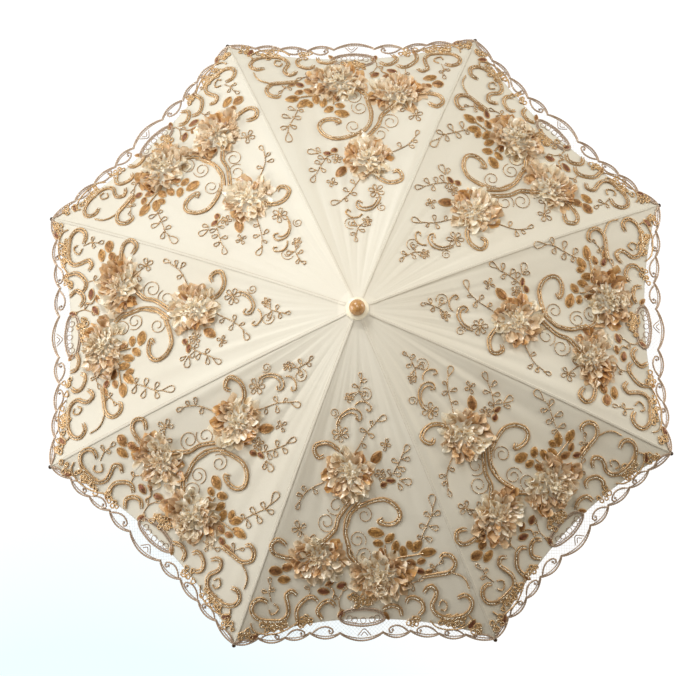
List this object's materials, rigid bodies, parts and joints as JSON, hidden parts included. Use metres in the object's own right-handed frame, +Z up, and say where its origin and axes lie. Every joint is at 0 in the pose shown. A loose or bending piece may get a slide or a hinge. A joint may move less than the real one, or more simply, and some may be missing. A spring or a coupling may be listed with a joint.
{
  "type": "lace parasol",
  "caption": "Open stick parasol with a domed octagonal satin canopy under raised lace, folding ribs and stretchers on a sliding runner, turned wooden finial and straight grip.",
  "frame": {"origin": "middle of the straight wooden grip, on the shaft's axis", "axes": "+Z up the shaft towards the finial; rib 1 lies 22.5 degrees from +X towards +Y"},
  "size_m": [0.7846, 0.7846, 0.5974],
  "materials": {
    "satin": "satin",
    "lace_cord": "satin",
    "petal_ribbon": "satin",
    "leaf_thread": "satin",
    "net": "matte",
    "shaft_steel": "polished",
    "rib_steel": "satin",
    "spring_steel": "satin",
    "wire": "satin",
    "tip_metal": "satin",
    "brass": "polished",
    "ivory_plastic": "satin",
    "wood": "gloss"
  },
  "bodies": {
    "shaft": {"shaft_tube": "shaft_steel", "crown_notch": "ivory_plastic", "crown_wire": "wire", "crown_rivet": "wire", "top_rosette": "satin", "finial_collar": "ivory_plastic", "finial_ball": "wood", "runner_stop": "wire", "catch_pins": "wire", "handle": "wood", "handle_ferrule": "brass", "handle_button": "brass"},
    "runner": {"runner_hub": "ivory_plastic", "runner_sleeve": "ivory_plastic", "runner_ring": "brass", "runner_wire": "wire"},
    "upper_catch": {"upper_catch": "spring_steel"},
    "lower_catch": {"lower_catch": "spring_steel"},
    "rib_1": {"rib_1": "rib_steel", "rib_tip_1": "tip_metal", "joiner_1": "rib_steel", "canopy_1": "satin"},
    "stretcher_1": {"stretcher_1": "rib_steel"},
    "rib_2": {"rib_2": "rib_steel", "rib_tip_2": "tip_metal", "joiner_2": "rib_steel", "canopy_2": "satin"},
    "stretcher_2": {"stretcher_2": "rib_steel"},
    "rib_3": {"rib_3": "rib_steel", "rib_tip_3": "tip_metal", "joiner_3": "rib_steel", "canopy_3": "satin"},
    "stretcher_3": {"stretcher_3": "rib_steel"},
    "rib_4": {"rib_4": "rib_steel", "rib_tip_4": "tip_metal", "joiner_4": "rib_steel", "canopy_4": "satin"},
    "stretcher_4": {"stretcher_4": "rib_steel"},
    "rib_5": {"rib_5": "rib_steel", "rib_tip_5": "tip_metal", "joiner_5": "rib_steel", "canopy_5": "satin"},
    "stretcher_5": {"stretcher_5": "rib_steel"},
    "rib_6": {"rib_6": "rib_steel", "rib_tip_6": "tip_metal", "joiner_6": "rib_steel", "canopy_6": "satin"},
    "stretcher_6": {"stretcher_6": "rib_steel"},
    "rib_7": {"rib_7": "rib_steel", "rib_tip_7": "tip_metal", "joiner_7": "rib_steel", "canopy_7": "satin"},
    "stretcher_7": {"stretcher_7": "rib_steel"},
    "rib_8": {"rib_8": "rib_steel", "rib_tip_8": "tip_metal", "joiner_8": "rib_steel", "canopy_8": "satin"},
    "stretcher_8": {"stretcher_8": "rib_steel"}
  },
  "joints": [
    {"name": "canopy_fold", "type": "hinge", "parent": "shaft", "child": "rib_1", "pos_m": [0.00785, 0.00325, 0.53], "axis": [-0.3827, 0.9239, 0], "range_deg": [0, 70], "deforming": ["canopy_1", "upper_catch", "lower_catch"]},
    {"name": "stretcher_1_pivot", "type": "hinge", "parent": "rib_1", "child": "stretcher_1", "pos_m": [0.17244, 0.07143, 0.48148], "axis": [-0.3827, 0.9239, 0], "range_deg": [-140, 0]},
    {"name": "rib_2_fold", "type": "hinge", "parent": "shaft", "child": "rib_2", "pos_m": [0.00325, 0.00785, 0.53], "axis": [-0.9239, 0.3827, 0], "range_deg": [0, 70], "deforming": ["canopy_2"]},
    {"name": "stretcher_2_pivot", "type": "hinge", "parent": "rib_2", "child": "stretcher_2", "pos_m": [0.07143, 0.17244, 0.48148], "axis": [-0.9239, 0.3827, 0], "range_deg": [-140, 0]},
    {"name": "rib_3_fold", "type": "hinge", "parent": "shaft", "child": "rib_3", "pos_m": [-0.00325, 0.00785, 0.53], "axis": [-0.9239, -0.3827, 0], "range_deg": [0, 70], "deforming": ["canopy_3"]},
    {"name": "stretcher_3_pivot", "type": "hinge", "parent": "rib_3", "child": "stretcher_3", "pos_m": [-0.07143, 0.17244, 0.48148], "axis": [-0.9239, -0.3827, 0], "range_deg": [-140, 0]},
    {"name": "rib_4_fold", "type": "hinge", "parent": "shaft", "child": "rib_4", "pos_m": [-0.00785, 0.00325, 0.53], "axis": [-0.3827, -0.9239, 0], "range_deg": [0, 70], "deforming": ["canopy_4"]},
    {"name": "stretcher_4_pivot", "type": "hinge", "parent": "rib_4", "child": "stretcher_4", "pos_m": [-0.17244, 0.07143, 0.48148], "axis": [-0.3827, -0.9239, 0], "range_deg": [-140, 0]},
    {"name": "rib_5_fold", "type": "hinge", "parent": "shaft", "child": "rib_5", "pos_m": [-0.00785, -0.00325, 0.53], "axis": [0.3827, -0.9239, 0], "range_deg": [0, 70], "deforming": ["canopy_5"]},
    {"name": "stretcher_5_pivot", "type": "hinge", "parent": "rib_5", "child": "stretcher_5", "pos_m": [-0.17244, -0.07143, 0.48148], "axis": [0.3827, -0.9239, 0], "range_deg": [-140, 0]},
    {"name": "rib_6_fold", "type": "hinge", "parent": "shaft", "child": "rib_6", "pos_m": [-0.00325, -0.00785, 0.53], "axis": [0.9239, -0.3827, 0], "range_deg": [0, 70], "deforming": ["canopy_6"]},
    {"name": "stretcher_6_pivot", "type": "hinge", "parent": "rib_6", "child": "stretcher_6", "pos_m": [-0.07143, -0.17244, 0.48148], "axis": [0.9239, -0.3827, 0], "range_deg": [-140, 0]},
    {"name": "rib_7_fold", "type": "hinge", "parent": "shaft", "child": "rib_7", "pos_m": [0.00325, -0.00785, 0.53], "axis": [0.9239, 0.3827, 0], "range_deg": [0, 70], "deforming": ["canopy_7"]},
    {"name": "stretcher_7_pivot", "type": "hinge", "parent": "rib_7", "child": "stretcher_7", "pos_m": [0.07143, -0.17244, 0.48148], "axis": [0.9239, 0.3827, 0], "range_deg": [-140, 0]},
    {"name": "rib_8_fold", "type": "hinge", "parent": "shaft", "child": "rib_8", "pos_m": [0.00785, -0.00325, 0.53], "axis": [0.3827, 0.9239, 0], "range_deg": [0, 70], "deforming": ["canopy_8"]},
    {"name": "stretcher_8_pivot", "type": "hinge", "parent": "rib_8", "child": "stretcher_8", "pos_m": [0.17244, -0.07143, 0.48148], "axis": [0.3827, 0.9239, 0], "range_deg": [-140, 0]},
    {"name": "runner_hinge", "type": "hinge", "parent": "stretcher_1", "child": "runner", "pos_m": [0.00785, 0.00325, 0.43296], "axis": [-0.3827, 0.9239, 0], "range_deg": [0, 70]},
    {"name": "upper_catch_press", "type": "hinge", "parent": "shaft", "child": "upper_catch", "pos_m": [0.0012, 0, 0.35866], "axis": [0, -1, 0], "range_deg": [0, 7], "stiffness_Nm_per_rad": 0.4, "springref_deg": -3.44},
    {"name": "lower_catch_press", "type": "hinge", "parent": "shaft", "child": "lower_catch", "pos_m": [0.0012, 0, 0.15841], "axis": [0, 1, 0], "range_deg": [0, 7], "stiffness_Nm_per_rad": 0.4, "springref_deg": -3.44}
  ],
  "couplings": [
    {"joint": "stretcher_1_pivot", "follows": "canopy_fold", "ratio": -2},
    {"joint": "rib_2_fold", "follows": "canopy_fold", "ratio": 1},
    {"joint": "stretcher_2_pivot", "follows": "canopy_fold", "ratio": -2},
    {"joint": "rib_3_fold", "follows": "canopy_fold", "ratio": 1},
    {"joint": "stretcher_3_pivot", "follows": "canopy_fold", "ratio": -2},
    {"joint": "rib_4_fold", "follows": "canopy_fold", "ratio": 1},
    {"joint": "stretcher_4_pivot", "follows": "canopy_fold", "ratio": -2},
    {"joint": "rib_5_fold", "follows": "canopy_fold", "ratio": 1},
    {"joint": "stretcher_5_pivot", "follows": "canopy_fold", "ratio": -2},
    {"joint": "rib_6_fold", "follows": "canopy_fold", "ratio": 1},
    {"joint": "stretcher_6_pivot", "follows": "canopy_fold", "ratio": -2},
    {"joint": "rib_7_fold", "follows": "canopy_fold", "ratio": 1},
    {"joint": "stretcher_7_pivot", "follows": "canopy_fold", "ratio": -2},
    {"joint": "rib_8_fold", "follows": "canopy_fold", "ratio": 1},
    {"joint": "stretcher_8_pivot", "follows": "canopy_fold", "ratio": -2},
    {"joint": "runner_hinge", "follows": "canopy_fold", "ratio": 1}
  ]
}
